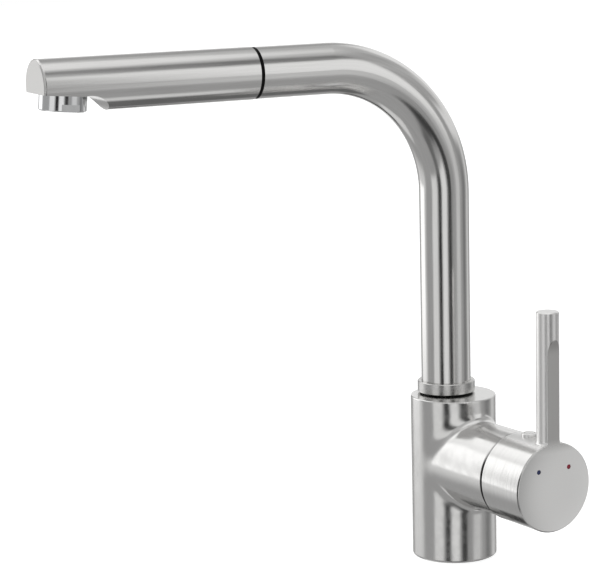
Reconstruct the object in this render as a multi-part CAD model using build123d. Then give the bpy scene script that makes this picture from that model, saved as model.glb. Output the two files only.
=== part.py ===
"""Single-lever kitchen mixer tap: L-shaped swivel spout with a pull-out spray head.

Millimetres, +Z up. The origin is the centre of the body's underside, on the deck. The lever
housing points along +X. The spout arm points along -Y, turned a few degrees about its riser.
"""

import os
from math import asin, atan2, cos, degrees, radians, sin, sqrt

from build123d import *

os.makedirs("parts", exist_ok=True)

# ---------------------------------------------------------------- clearances
FIT = 0.05  # radial clearance of pieces that sit or turn in each other
GAP = 0.3  # clearance of pieces that pass each other
THROUGH = 1.0  # how far a cut runs past the face that it opens

# ---------------------------------------------------------------- body and side housing
BODY_RADIUS = 24.1
BODY_HEIGHT = 93.0
BODY_TOP_ROUND = 0.8
BODY_BASE_ROUND = 1.5
HOUSING_SET_IN = 0.1  # a hair slimmer than the body, so that the two blend softly
HOUSING_DROP = 36.0  # housing axis below the body's top
PARTING_X = 59.0  # middle of the gap between housing and handle
PARTING_GAP = 0.8
HOUSING_FILLET = 7.0
MOUTH_CHAMFER = 1.0

# ---------------------------------------------------------------- underside of the body
SEAL_INNER_RADIUS = 19.8
SEAL_OUTER_RADIUS = 21.8
SEAL_THICKNESS = 1.8
PORT_RADIUS = 3.5  # tapping drill of M8x1
PORT_DEPTH = 14.0
WATERWAY_RADIUS = 2.8
CROSS_BORE_RADIUS = 3.0
INLET_X = 6.5
INLET_Y = 12.5
OUTLET_X = 13.0
STUD_RADIUS = 2.5  # tapping drill of M6
STUD_DEPTH = 16.0
STUD_Y = 14.5
HOSE_BORE_RADIUS = 9.5
GUIDE_WALL = 1.6
GUIDE_LENGTH = 14.0
GUIDE_LIFT = 0.5  # above the deck

# ---------------------------------------------------------------- spout
SPOUT_OFFSET = 6.5  # riser axis from the body axis, away from the lever
SPOUT_HEIGHT = 281.0  # arm axis above the deck
TUBE_RADIUS = 14.0
TUBE_WALL = 1.2
BEND_RADIUS = 73.0
ARM_LENGTH = 116.5  # riser axis to the end of the tube
SWIVEL_AT_REST = -5.5  # degrees about +Z
SWIVEL_EACH_WAY = 70.0
COLLAR_WALL = 2.3  # round the tube
COLLAR_HEIGHT = 6.4
COLLAR_LEDGE = 2.0
COLLAR_EDGE = 0.4

# ---------------------------------------------------------------- swivel joint
SOCKET_RADIUS = 13.5
SOCKET_DEPTH = 27.0
SPIGOT_RADIUS = 12.0
SPIGOT_BORE = 8.6
SPIGOT_GRIP = 18.0  # length inside the tube
BUSH_LENGTH = 7.0
BUSH_FLANGE = 0.8
BUSH_FLANGE_RADIUS = 15.0
GROOVE_DEPTH = 1.5
GROOVE_HEIGHT = 3.8
GROOVE_SPARE = 1.5  # degrees left at each stop
RETAINER_DROP = 14.0  # below the body's top
RETAINER_RADIUS = 2.5
RETAINER_TIP_RADIUS = 1.6
RETAINER_SINK = 1.2  # below the body's surface
HEX_SOCKET = 2.5  # across flats
HEX_SOCKET_DEPTH = 2.5

# ---------------------------------------------------------------- pull-out hose and docking
HOSE_RADIUS = 7.0
HOSE_START = 0.5  # above the deck
NOSE_RADIUS = 10.3
NOSE_WALL = 1.1
NOSE_LENGTH = 18.0
SLEEVE_LENGTH = 28.0
DOCK_RING_THICKNESS = 1.8
DOCK_RING_SET_IN = 0.2  # inside the tube's outside
FERRULE_WALL = 0.8
FERRULE_LENGTH = 12.0
CONNECTOR_FLANGE_LENGTH = 12.0
CONNECTOR_FLANGE_RADIUS = 8.9
CONNECTOR_THREAD_LENGTH = 10.0
CONNECTOR_THREAD_RADIUS = 7.4
CONNECTOR_BORE = 4.0
CONNECTOR_SEAL_THICKNESS = 2.0

# ---------------------------------------------------------------- spray head
HEAD_PROUD = 0.2  # outside the tube's outside
HEAD_WALL = 1.5
HEAD_LENGTH = 122.0
HEAD_END_ROUND = 1.3
FLAT_DROP = 5.0  # the flat underside, below the axis at the aerator
FLAT_TILT = 5.0  # degrees, rising towards the tip
SCOOP_RADIUS = 13.9
SCOOP_RISE = 0.65  # the scoop's crown above the flat
SCOOP_FROM_TIP = 26.5
CARRIER_LENGTH = 19.0
CHANNEL_RADIUS = 4.0
CHANNEL_RAISE = 3.0
CHANNEL_WALL = 2.0
VALVE_RADIUS = 5.0
VALVE_LENGTH = 9.0

# ---------------------------------------------------------------- aerator
AERATOR_FROM_TIP = 15.2
AERATOR_RADIUS = 12.5
AERATOR_HEIGHT = 8.3
AERATOR_WALL = 2.5
AERATOR_FLATS_HEIGHT = 3.9  # up from the lower edge
AERATOR_CHAMFER = 0.6
AERATOR_FLATS = 23.0
AERATOR_NECK_RADIUS = 10.0
AERATOR_NECK = 4.0
AERATOR_RECESS = 1.0
AERATOR_SEAL = 1.6
INSERT_THICKNESS = 5.0
INSERT_HOLE_RADIUS = 0.7
INSERT_RING_RADII = (2.6, 5.0, 7.2)
INSERT_RING_COUNTS = (6, 12, 16)
OUTLET_SOCKET_HEIGHT = 7.5

# ---------------------------------------------------------------- cartridge
VALVE_DEPTH = 38.6  # from the housing's mouth to the valve floor
CARTRIDGE_RADIUS = 17.5
CARTRIDGE_GAP = 0.2
CARTRIDGE_WALL = 1.3
CARTRIDGE_LENGTH = 26.0
CARTRIDGE_FRONT_WALL = 4.95
CARTRIDGE_NECK_RADIUS = 14.2
CARTRIDGE_NECK = 4.0
BASE_THICKNESS = 3.0
PORT_Y = 10.0  # hot and cold ports of the body, from the lever axis
PORT_RAISE = 4.0
OUTLET_PORT_DROP = 9.0
BASE_PORT_RADIUS = 2.6
PORT_SEAL_WALL = 1.4
PORT_SEAL_DEPTH = 1.4
DISC_PORT_Y = 7.0  # the same ports in the fixed disc, closer together
DISC_OUTLET_DROP = 6.5
DISC_THICKNESS = 3.0
MOVING_DISC_RADIUS = 12.6
MIXING_POCKET_DEPTH = 1.5
MIXING_POCKET_RADIUS = 5.0
OUTLET_LOBE_RADIUS = 3.2
OUTLET_LOBE_WIDTH = 4.4
OUTLET_LOBE_DROP = 5.5
DRIVER_RADIUS = 11.0
DRIVER_THICKNESS = 5.0
DRIVER_FLATS = 18.0
BALL_RADIUS = 2.5
BALL_FROM_PIVOT = 7.7
PIVOT_FROM_FLOOR = 20.0
ROTOR_BACK_FROM_FLOOR = 16.2
ROTOR_FLANGE_RADIUS = 15.8
ROTOR_HUB_RADIUS = 12.5
ROTOR_END_FROM_FLOOR = 32.0
RAIL_LENGTH = 6.0
RAIL_THICKNESS = 3.6
RAIL_HALF_HEIGHT = 8.5
STEM_SIDE = 8.0
STEM_NECK_RADIUS = 2.0
STEM_SET_BACK = 11.0  # end of the stem behind the disc's face
SLOT_ABOVE = 5.6
SLOT_BELOW = 10.5
PIN_RADIUS = 2.0
PIN_LENGTH = 24.0
NUT_RADIUS = 20.0
NUT_BORE = 14.4
NUT_LENGTH = 8.5
NUT_NOTCHES = 6
NUT_NOTCH_WIDTH = 4.0
NUT_NOTCH_DEPTH = 2.5
MOUTH_RADIUS = 21.3
DOME_RIM = 2.4
DOME_THICKNESS = 1.0
DOME_RISE = 3.2
DOME_OPENING = 13.2

# ---------------------------------------------------------------- lever handle
CAP_PROUD = 0.7  # outside the housing
CAP_LENGTH = 31.6
CAP_FRONT_WALL = 5.0
CAP_WALL = 2.2
CAP_EDGE = 0.7
SKIRT_WALL = 1.1
SKIRT_LENGTH = 3.0
LEVER_SET_BACK = 5.0  # lever axis behind the disc's face
LEVER_RADIUS = 6.25
LEVER_RISE = 95.8  # above the housing axis
LEVER_EDGE = 0.5
LEVER_ROOT_FILLET = 2.0
FLAT_RISE = 73.2  # where the milled flat starts to run out
FLAT_CUTTER_RADIUS = 22.0
HUB_RADIUS = 8.0
HUB_SET_BACK = 25.0
BOSS_SET_BACK = 21.0
BOSS_RADIUS = 4.4
BOSS_PROUD = 1.8
BOSS_ROUND = 0.8
PLUG_RADIUS = 2.95
PLUG_LENGTH = 4.2
PLUG_ROUND = 0.6
GRUB_RADIUS = 2.5
GRUB_LENGTH = 6.0
MARKER_RADIUS = 1.3
MARKER_Y = 10.2
MARKER_RAISE = 10.1
MARKER_HOLE_DEPTH = 1.5
MARKER_SINK = 0.3

# ---------------------------------------------------------------- places that follow from the sizes
housing_height = BODY_HEIGHT - HOUSING_DROP
housing_radius = BODY_RADIUS - HOUSING_SET_IN
cap_radius = housing_radius + CAP_PROUD
retainer_height = BODY_HEIGHT - RETAINER_DROP
socket_floor = BODY_HEIGHT - SOCKET_DEPTH
housing_mouth = PARTING_X - PARTING_GAP / 2
valve_floor = housing_mouth - VALVE_DEPTH
pivot_x = valve_floor + PIVOT_FROM_FLOOR
rotor_back = valve_floor + ROTOR_BACK_FROM_FLOOR
rotor_end = valve_floor + ROTOR_END_FROM_FLOOR
nut_seat = valve_floor + CARTRIDGE_LENGTH
nut_front = nut_seat + NUT_LENGTH
cap_back = PARTING_X + PARTING_GAP / 2
cap_front = cap_back + CAP_LENGTH
lever_x = cap_front - LEVER_SET_BACK
boss_x = cap_front - BOSS_SET_BACK
hub_back = cap_front - HUB_SET_BACK
stem_end = cap_front - STEM_SET_BACK
lever_top = housing_height + LEVER_RISE
collar_radius = TUBE_RADIUS + COLLAR_WALL
dock_ring_radius = TUBE_RADIUS - DOCK_RING_SET_IN
head_radius = TUBE_RADIUS + HEAD_PROUD

lever_axis = Plane(origin=(0, 0, housing_height), x_dir=(0, 1, 0), z_dir=(1, 0, 0))
riser_axis = Axis((-SPOUT_OFFSET, 0, 0), (0, 0, 1))
arm_axis = Plane(origin=(-SPOUT_OFFSET, 0, SPOUT_HEIGHT), x_dir=(1, 0, 0), z_dir=(0, -1, 0))
UP = (Align.CENTER, Align.CENTER, Align.MIN)


def round_bar(frame, radius, start, end):
    """A cylinder on the frame's z axis, from start to end."""
    return frame * Pos(0, 0, start) * Cylinder(radius, end - start, align=UP)


def ring(frame, outer, inner, start, end):
    """A plain ring on the frame's z axis."""
    bore = round_bar(frame, inner, start - THROUGH, end + THROUGH)
    return round_bar(frame, outer, start, end) - bore


def upright(x, y):
    return Plane(origin=(x, y, 0))


def turn_with_spout(shape):
    return shape.rotate(riser_axis, SWIVEL_AT_REST)


def circles_at(shape, frame, height, radius=None):
    """The circular edges of a shape that lie in the plane z = height of a frame."""
    found = []
    for edge in shape.edges().filter_by(GeomType.CIRCLE):
        local = frame.to_local_coords(edge.arc_center)
        flat = abs(local.Z - height) < 1e-3
        if flat and (radius is None or abs(edge.radius - radius) < 1e-3):
            found.append(edge)
    return found


deck = Plane.XY
riser = upright(-SPOUT_OFFSET, 0)


# ---------------------------------------------------------------- body
def make_body():
    body = round_bar(deck, BODY_RADIUS, 0, BODY_HEIGHT)
    body += round_bar(lever_axis, housing_radius, 0, housing_mouth)
    junction = body.edges().filter_by(lambda e: e.geom_type not in (GeomType.LINE, GeomType.CIRCLE))
    body = fillet(junction, HOUSING_FILLET)
    body = fillet(circles_at(body, deck, BODY_HEIGHT), BODY_TOP_ROUND)
    body = fillet(circles_at(body, deck, 0), BODY_BASE_ROUND)
    body = chamfer(circles_at(body, lever_axis, housing_mouth), MOUTH_CHAMFER)

    cuts = [
        ring(deck, SEAL_OUTER_RADIUS, SEAL_INNER_RADIUS, -THROUGH, SEAL_THICKNESS),
        round_bar(riser, HOSE_BORE_RADIUS, -THROUGH, socket_floor + THROUGH),
        round_bar(riser, SOCKET_RADIUS, socket_floor, BODY_HEIGHT + THROUGH),
        round_bar(lever_axis, CARTRIDGE_RADIUS + CARTRIDGE_GAP, valve_floor, nut_seat + THROUGH),
        round_bar(lever_axis, NUT_RADIUS, nut_seat, nut_front + THROUGH),
        round_bar(lever_axis, MOUTH_RADIUS, nut_front, housing_mouth + THROUGH),
    ]
    port_height = housing_height + PORT_RAISE
    for side in (-1, 1):
        inlet = upright(INLET_X, side * INLET_Y)
        cuts.append(round_bar(inlet, PORT_RADIUS, -THROUGH, PORT_DEPTH))
        cuts.append(round_bar(inlet, WATERWAY_RADIUS, PORT_DEPTH - THROUGH, port_height))
        across = Plane(origin=(0, side * PORT_Y, port_height), z_dir=(1, 0, 0))
        cuts.append(round_bar(across, CROSS_BORE_RADIUS, INLET_X, valve_floor + THROUGH))
        cuts.append(round_bar(upright(-SPOUT_OFFSET, side * STUD_Y), STUD_RADIUS, -THROUGH, STUD_DEPTH))
    outlet_height = housing_height - OUTLET_PORT_DROP
    outlet = upright(OUTLET_X, 0)
    cuts.append(round_bar(outlet, PORT_RADIUS, -THROUGH, PORT_DEPTH))
    cuts.append(round_bar(outlet, WATERWAY_RADIUS, PORT_DEPTH - THROUGH, outlet_height))
    across = Plane(origin=(0, 0, outlet_height), z_dir=(1, 0, 0))
    cuts.append(round_bar(across, CROSS_BORE_RADIUS, OUTLET_X, valve_floor + THROUGH))
    back = retainer_axis()
    cuts.append(round_bar(back, RETAINER_RADIUS + FIT, SOCKET_RADIUS - THROUGH, BODY_RADIUS + THROUGH))
    return body - cuts


def make_base_seal():
    return ring(deck, SEAL_OUTER_RADIUS - FIT, SEAL_INNER_RADIUS + FIT, 0, SEAL_THICKNESS)


def make_hose_guide():
    outer = HOSE_BORE_RADIUS - FIT
    inner = outer - GUIDE_WALL
    top = GUIDE_LIFT + GUIDE_LENGTH
    guide = ring(riser, outer, inner, GUIDE_LIFT, top)
    mouths = circles_at(guide, riser, GUIDE_LIFT, inner) + circles_at(guide, riser, top, inner)
    return chamfer(mouths, GUIDE_WALL / 2)


# ---------------------------------------------------------------- swivel joint
collar_bottom = BODY_HEIGHT + BUSH_FLANGE + FIT
tube_foot = collar_bottom + COLLAR_LEDGE


def retainer_axis():
    return Plane(origin=(-SPOUT_OFFSET, 0, retainer_height), z_dir=(0, 1, 0))


def make_upper_bush():
    sleeve_top = BODY_HEIGHT + BUSH_FLANGE
    bush = ring(riser, SOCKET_RADIUS - FIT, SPIGOT_RADIUS, BODY_HEIGHT - BUSH_LENGTH, sleeve_top)
    return bush + ring(riser, BUSH_FLANGE_RADIUS, SPIGOT_RADIUS, BODY_HEIGHT, sleeve_top)


def make_lower_bush():
    return ring(riser, SOCKET_RADIUS - FIT, SPIGOT_RADIUS, socket_floor, socket_floor + BUSH_LENGTH)


def make_spigot():
    turning = SPIGOT_RADIUS - FIT
    fixed = TUBE_RADIUS - TUBE_WALL - FIT
    spigot = round_bar(riser, turning, socket_floor + GAP, collar_bottom + THROUGH)
    spigot += round_bar(riser, fixed, collar_bottom, tube_foot + SPIGOT_GRIP)
    spigot -= round_bar(riser, SPIGOT_BORE, socket_floor - THROUGH, tube_foot + SPIGOT_GRIP + THROUGH)
    # the stop groove, cut round the back of the spigot as far as the spout may turn
    floor = turning - GROOVE_DEPTH
    tip_angle = degrees(asin(RETAINER_TIP_RADIUS / floor))
    half_sweep = SWIVEL_EACH_WAY + tip_angle + GROOVE_SPARE
    profile = Plane(origin=(-SPOUT_OFFSET, 0, retainer_height), x_dir=(0, 1, 0), z_dir=(1, 0, 0)) * Pos(
        floor + GROOVE_DEPTH, 0
    ) * Rectangle(2 * GROOVE_DEPTH, GROOVE_HEIGHT)
    groove = revolve(profile, riser_axis, 2 * half_sweep)
    return spigot - groove.rotate(riser_axis, -half_sweep)


def make_retainer():
    back = retainer_axis()
    outside = sqrt(BODY_RADIUS**2 - SPOUT_OFFSET**2) - RETAINER_SINK
    tip = SPIGOT_RADIUS - FIT - GROOVE_DEPTH + GAP
    shoulder = SOCKET_RADIUS + FIT
    screw = round_bar(back, RETAINER_RADIUS, shoulder, outside)
    screw += round_bar(back, RETAINER_TIP_RADIUS, tip, shoulder)
    key = back * Pos(0, 0, outside - HEX_SOCKET_DEPTH) * extrude(
        RegularPolygon(HEX_SOCKET / 2, 6, major_radius=False), HEX_SOCKET_DEPTH + THROUGH
    )
    return screw - key


def make_collar():
    collar = round_bar(riser, collar_radius, collar_bottom, collar_bottom + COLLAR_HEIGHT)
    for end in (collar_bottom, collar_bottom + COLLAR_HEIGHT):
        collar = chamfer(circles_at(collar, riser, end), COLLAR_EDGE)
    collar -= round_bar(riser, TUBE_RADIUS - TUBE_WALL, collar_bottom - THROUGH, tube_foot + THROUGH)
    return collar - round_bar(riser, TUBE_RADIUS + FIT, tube_foot, collar_bottom + COLLAR_HEIGHT + THROUGH)


# ---------------------------------------------------------------- spout tube and hose
def spout_path(start_height, arm_end):
    """The spout's centreline: up the riser, round the bend and out along the arm."""
    bend_start = SPOUT_HEIGHT - BEND_RADIUS
    foot = Vector(-SPOUT_OFFSET, 0, start_height)
    low = Vector(-SPOUT_OFFSET, 0, bend_start)
    out = Vector(-SPOUT_OFFSET, -BEND_RADIUS, SPOUT_HEIGHT)
    end = Vector(-SPOUT_OFFSET, -arm_end, SPOUT_HEIGHT)
    bend = TangentArc(low, out, tangent=(0, 0, 1))
    return Wire([Line(foot, low), bend, Line(out, end)])


def swept_bar(radius, start_height, arm_end):
    section = upright(-SPOUT_OFFSET, 0) * Pos(0, 0, start_height) * Circle(radius)
    return sweep(section, path=spout_path(start_height, arm_end))


def make_spout_tube():
    outer = swept_bar(TUBE_RADIUS, tube_foot, ARM_LENGTH)
    return outer - swept_bar(TUBE_RADIUS - TUBE_WALL, tube_foot, ARM_LENGTH)


head_start = ARM_LENGTH + DOCK_RING_THICKNESS + GAP
nose_back = head_start - NOSE_LENGTH
connector_back = nose_back + FERRULE_WALL + THROUGH * 2
thread_start = connector_back + CONNECTOR_FLANGE_LENGTH
thread_end = thread_start + CONNECTOR_THREAD_LENGTH
valve_seat = thread_end + CONNECTOR_SEAL_THICKNESS


def make_hose():
    return swept_bar(HOSE_RADIUS, HOSE_START, connector_back)


def make_ferrule():
    outer = HOSE_RADIUS + FIT + FERRULE_WALL
    return ring(arm_axis, outer, HOSE_RADIUS + FIT, connector_back - FERRULE_LENGTH, connector_back)


def make_dock_sleeve():
    outer = TUBE_RADIUS - TUBE_WALL - FIT
    inner = NOSE_RADIUS + GAP
    sleeve = ring(arm_axis, outer, inner, ARM_LENGTH - SLEEVE_LENGTH, ARM_LENGTH)
    return chamfer(circles_at(sleeve, arm_axis, ARM_LENGTH - SLEEVE_LENGTH, inner), (outer - inner) / 2)


def make_dock_ring():
    inner = NOSE_RADIUS + GAP
    return ring(arm_axis, dock_ring_radius, inner, ARM_LENGTH, ARM_LENGTH + DOCK_RING_THICKNESS)


def make_hose_connector():
    connector = round_bar(arm_axis, CONNECTOR_FLANGE_RADIUS, connector_back, thread_start)
    connector += round_bar(arm_axis, CONNECTOR_THREAD_RADIUS, thread_start, thread_end)
    return connector - round_bar(arm_axis, CONNECTOR_BORE, connector_back - THROUGH, thread_end + THROUGH)


def make_connector_seal():
    return ring(arm_axis, CONNECTOR_THREAD_RADIUS - FIT, CONNECTOR_BORE, thread_end, valve_seat)


def make_check_valve():
    valve = ring(arm_axis, VALVE_RADIUS - FIT, VALVE_RADIUS - 1.2, valve_seat, valve_seat + VALVE_LENGTH)
    spider = arm_axis * Pos(0, 0, valve_seat + VALVE_LENGTH / 2) * Box(2 * (VALVE_RADIUS - 1), 1.2, 1.5)
    poppet = round_bar(arm_axis, VALVE_RADIUS - 2.2, valve_seat + 1, valve_seat + VALVE_LENGTH - 1)
    return valve + spider + poppet


# ---------------------------------------------------------------- spray head
head_tip = head_start + HEAD_LENGTH
aerator_at = head_tip - AERATOR_FROM_TIP


def aerator_frame():
    """X runs outwards along the tilted flat and Z down through it, FLAT_DROP above the flat."""
    rise, run = sin(radians(FLAT_TILT)), cos(radians(FLAT_TILT))
    return Plane(
        origin=(
            -SPOUT_OFFSET,
            -aerator_at + FLAT_DROP * rise,
            SPOUT_HEIGHT - FLAT_DROP + FLAT_DROP * run,
        ),
        x_dir=(0, -run, rise),
        z_dir=(0, -rise, -run),
    )


def undercut(allowance):
    """What is cut away under the head: a flat out to the tip with a round scoop behind it.

    The allowance thickens what is cut away, so that walls follow the outside.
    """
    frame = aerator_frame()
    side_view = Plane(origin=frame.origin, x_dir=frame.x_dir, z_dir=(-1, 0, 0))
    depth = 2 * head_radius
    behind = SCOOP_FROM_TIP - AERATOR_FROM_TIP
    flat = Pos(-behind, -FLAT_DROP + allowance) * Rectangle(
        SCOOP_FROM_TIP + depth, depth, align=(Align.MIN, Align.MAX)
    )
    scoop = Pos(-behind, -FLAT_DROP + SCOOP_RISE - SCOOP_RADIUS) * Circle(SCOOP_RADIUS + allowance)
    return extrude(side_view * (flat + scoop), depth, both=True)


def make_head_shell():
    cavity_radius = head_radius - HEAD_WALL
    shell = round_bar(arm_axis, head_radius, head_start, head_tip)
    shell = fillet(circles_at(shell, arm_axis, head_tip), HEAD_END_ROUND)
    shell -= undercut(0)
    cavity = round_bar(arm_axis, cavity_radius, head_start - THROUGH, head_tip - HEAD_WALL)
    shell -= cavity - undercut(HEAD_WALL)
    shell -= round_bar(aerator_frame(), AERATOR_NECK_RADIUS + GAP, 0, head_radius)
    return shell - round_bar(aerator_frame(), AERATOR_RADIUS + GAP, FLAT_DROP, head_radius)


def make_waterway():
    outer = head_radius - HEAD_WALL - FIT
    carrier_start = head_start + THROUGH
    carrier_end = carrier_start + CARRIER_LENGTH
    outlet = aerator_frame()
    block_start = aerator_at - AERATOR_RADIUS
    raised = Plane(
        origin=(-SPOUT_OFFSET, 0, SPOUT_HEIGHT + CHANNEL_RAISE), x_dir=(1, 0, 0), z_dir=(0, -1, 0)
    )
    water = round_bar(arm_axis, outer, carrier_start, carrier_end)
    water += round_bar(arm_axis, NOSE_RADIUS, nose_back, carrier_start)
    water += round_bar(raised, CHANNEL_RADIUS + CHANNEL_WALL, carrier_end - THROUGH, aerator_at)
    water += round_bar(arm_axis, outer, block_start, head_tip - HEAD_WALL - FIT)
    water -= undercut(HEAD_WALL + FIT)
    water -= round_bar(arm_axis, NOSE_RADIUS - NOSE_WALL, nose_back - THROUGH, thread_start)
    water -= round_bar(arm_axis, CONNECTOR_THREAD_RADIUS + FIT, thread_start - THROUGH, valve_seat)
    water -= round_bar(arm_axis, VALVE_RADIUS, valve_seat - THROUGH, valve_seat + VALVE_LENGTH)
    water -= round_bar(raised, CHANNEL_RADIUS, valve_seat + VALVE_LENGTH - 2 * THROUGH, aerator_at)
    socket_top = -FLAT_DROP + OUTLET_SOCKET_HEIGHT
    return water - round_bar(outlet, AERATOR_NECK_RADIUS + FIT, -socket_top, head_radius)


# ---------------------------------------------------------------- aerator
def make_aerator_housing():
    frame = aerator_frame()
    bottom = FLAT_DROP + AERATOR_HEIGHT
    housing = round_bar(frame, AERATOR_RADIUS, FLAT_DROP, bottom)
    housing = chamfer(circles_at(housing, frame, bottom), AERATOR_CHAMFER)
    for side in (-1, 1):
        slab = Pos(0, side * AERATOR_RADIUS, bottom - AERATOR_FLATS_HEIGHT) * Box(
            2 * AERATOR_RADIUS, 2 * AERATOR_RADIUS - AERATOR_FLATS, AERATOR_FLATS_HEIGHT + THROUGH, align=UP
        )
        housing -= frame * slab
    housing += round_bar(frame, AERATOR_NECK_RADIUS, FLAT_DROP - AERATOR_NECK, FLAT_DROP + THROUGH)
    bore = AERATOR_RADIUS - AERATOR_WALL
    insert_top = bottom - AERATOR_RECESS - INSERT_THICKNESS
    housing -= round_bar(frame, bore, insert_top, bottom + THROUGH)
    return housing - round_bar(frame, AERATOR_NECK_RADIUS - 2, FLAT_DROP - AERATOR_NECK - THROUGH, bottom)


def make_aerator_insert():
    frame = aerator_frame()
    bottom = FLAT_DROP + AERATOR_HEIGHT - AERATOR_RECESS
    insert = round_bar(frame, AERATOR_RADIUS - AERATOR_WALL - FIT, bottom - INSERT_THICKNESS, bottom)
    hole = Cylinder(INSERT_HOLE_RADIUS, INSERT_THICKNESS + 2 * THROUGH)
    middle = frame * Pos(0, 0, bottom - INSERT_THICKNESS / 2)
    holes = [middle * hole]
    for radius, count in zip(INSERT_RING_RADII, INSERT_RING_COUNTS):
        holes += [middle * place * hole for place in PolarLocations(radius, count)]
    return insert - holes


def make_aerator_seal():
    top = FLAT_DROP - AERATOR_NECK
    return ring(aerator_frame(), AERATOR_NECK_RADIUS, AERATOR_NECK_RADIUS - 2.5, top - AERATOR_SEAL, top)


# ---------------------------------------------------------------- cartridge
base_back = valve_floor + CARTRIDGE_GAP
disc_back = base_back + BASE_THICKNESS
moving_back = disc_back + DISC_THICKNESS + FIT
driver_back = moving_back + DISC_THICKNESS
rotor_shoulder = nut_seat - CARTRIDGE_FRONT_WALL


# across and up from the lever axis: hot and cold side by side, the mixed outlet below
BODY_PORTS = [(-PORT_Y, PORT_RAISE), (PORT_Y, PORT_RAISE), (0, -OUTLET_PORT_DROP)]
DISC_PORTS = [(-DISC_PORT_Y, PORT_RAISE), (DISC_PORT_Y, PORT_RAISE), (0, -DISC_OUTLET_DROP)]
seal_front = valve_floor + PORT_SEAL_DEPTH


def port_bars(ports, radius, start, end):
    return [lever_axis * Pos(y, z, start) * Cylinder(radius, end - start, align=UP) for y, z in ports]


def make_cartridge_base():
    base = round_bar(lever_axis, CARTRIDGE_RADIUS - FIT, base_back, disc_back)
    base -= port_bars(BODY_PORTS, BASE_PORT_RADIUS + PORT_SEAL_WALL, base_back - THROUGH, seal_front)
    base -= port_bars(BODY_PORTS, BASE_PORT_RADIUS, base_back - THROUGH, disc_back + THROUGH)
    for outer, inner in zip(BODY_PORTS, DISC_PORTS):
        step = Vector(*inner) - Vector(*outer)
        slant = degrees(atan2(step.Y, step.X))
        channel = SlotCenterToCenter(step.length, 2 * BASE_PORT_RADIUS, rotation=slant)
        middle = (Vector(*inner) + Vector(*outer)) / 2
        base -= lever_axis * Pos(middle.X, middle.Y, seal_front) * extrude(channel, BASE_THICKNESS)
    return base


def make_port_seals():
    outer = port_bars(BODY_PORTS, BASE_PORT_RADIUS + PORT_SEAL_WALL - FIT, valve_floor, seal_front)
    bores = port_bars(BODY_PORTS, BASE_PORT_RADIUS, valve_floor - THROUGH, seal_front + THROUGH)
    return Compound([seal - bore for seal, bore in zip(outer, bores)])


def make_cartridge_housing():
    bore = ROTOR_HUB_RADIUS + FIT
    neck_end = nut_seat + CARTRIDGE_NECK
    shell = ring(lever_axis, CARTRIDGE_RADIUS, CARTRIDGE_RADIUS - CARTRIDGE_WALL, disc_back, nut_seat)
    shell += ring(lever_axis, CARTRIDGE_RADIUS, bore, rotor_shoulder, nut_seat)
    return shell + ring(lever_axis, CARTRIDGE_NECK_RADIUS, bore, nut_seat - THROUGH, neck_end)


def make_fixed_disc():
    outer = CARTRIDGE_RADIUS - CARTRIDGE_WALL - FIT
    disc = round_bar(lever_axis, outer, disc_back, disc_back + DISC_THICKNESS)
    return disc - port_bars(DISC_PORTS, BASE_PORT_RADIUS, disc_back - THROUGH, moving_back + THROUGH)


def make_moving_disc():
    """Its pocket always reaches the outlet port and meets the inlets only when the disc is lifted."""
    disc = round_bar(lever_axis, MOVING_DISC_RADIUS, moving_back, driver_back)
    pocket = Circle(MIXING_POCKET_RADIUS)
    pocket += Pos(0, -OUTLET_LOBE_DROP) * SlotCenterToCenter(OUTLET_LOBE_WIDTH, 2 * OUTLET_LOBE_RADIUS)
    depth = THROUGH + MIXING_POCKET_DEPTH
    return disc - lever_axis * Pos(0, 0, moving_back - THROUGH) * extrude(pocket, depth)


def make_disc_driver():
    front = driver_back + DRIVER_THICKNESS
    driver = round_bar(lever_axis, DRIVER_RADIUS, driver_back, front)
    middle = lever_axis * Pos(0, 0, driver_back)
    driver &= middle * Box(DRIVER_FLATS, 2 * DRIVER_RADIUS, DRIVER_THICKNESS, align=UP)
    pocket_floor = pivot_x - BALL_FROM_PIVOT - BALL_RADIUS - GAP
    return driver - round_bar(lever_axis, BALL_RADIUS + GAP, pocket_floor, front + THROUGH)


def make_rotor():
    rotor = round_bar(lever_axis, ROTOR_FLANGE_RADIUS, rotor_back, rotor_shoulder - FIT)
    rotor += round_bar(lever_axis, ROTOR_HUB_RADIUS, rotor_back, rotor_end)
    inside = DRIVER_FLATS / 2 + GAP
    for side in (-1, 1):
        rail = Pos(side * (inside + RAIL_THICKNESS / 2), 0, rotor_back - RAIL_LENGTH) * Box(
            RAIL_THICKNESS, 2 * RAIL_HALF_HEIGHT, RAIL_LENGTH + THROUGH, align=UP
        )
        rotor += lever_axis * rail
    slot = Pos(0, (SLOT_ABOVE - SLOT_BELOW) / 2, rotor_back - THROUGH) * Box(
        STEM_SIDE + 2 * GAP, SLOT_ABOVE + SLOT_BELOW, rotor_end - rotor_back + 2 * THROUGH, align=UP
    )
    rotor -= lever_axis * slot
    return rotor - pin_bar(PIN_RADIUS, PIN_LENGTH)


def pin_bar(radius, length):
    return Plane(origin=(pivot_x, 0, housing_height), z_dir=(0, 1, 0)) * Cylinder(radius, length)


def make_stem():
    ball_x = pivot_x - BALL_FROM_PIVOT
    bar_back = pivot_x - STEM_SIDE / 2 + THROUGH / 2
    stem = lever_axis * Pos(0, 0, bar_back) * Box(STEM_SIDE, STEM_SIDE, stem_end - bar_back, align=UP)
    stem += lever_axis * Pos(0, 0, ball_x) * Sphere(BALL_RADIUS)
    stem += round_bar(lever_axis, STEM_NECK_RADIUS, ball_x, bar_back + THROUGH)
    return stem - pin_bar(PIN_RADIUS + FIT, 2 * STEM_SIDE)


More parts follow.
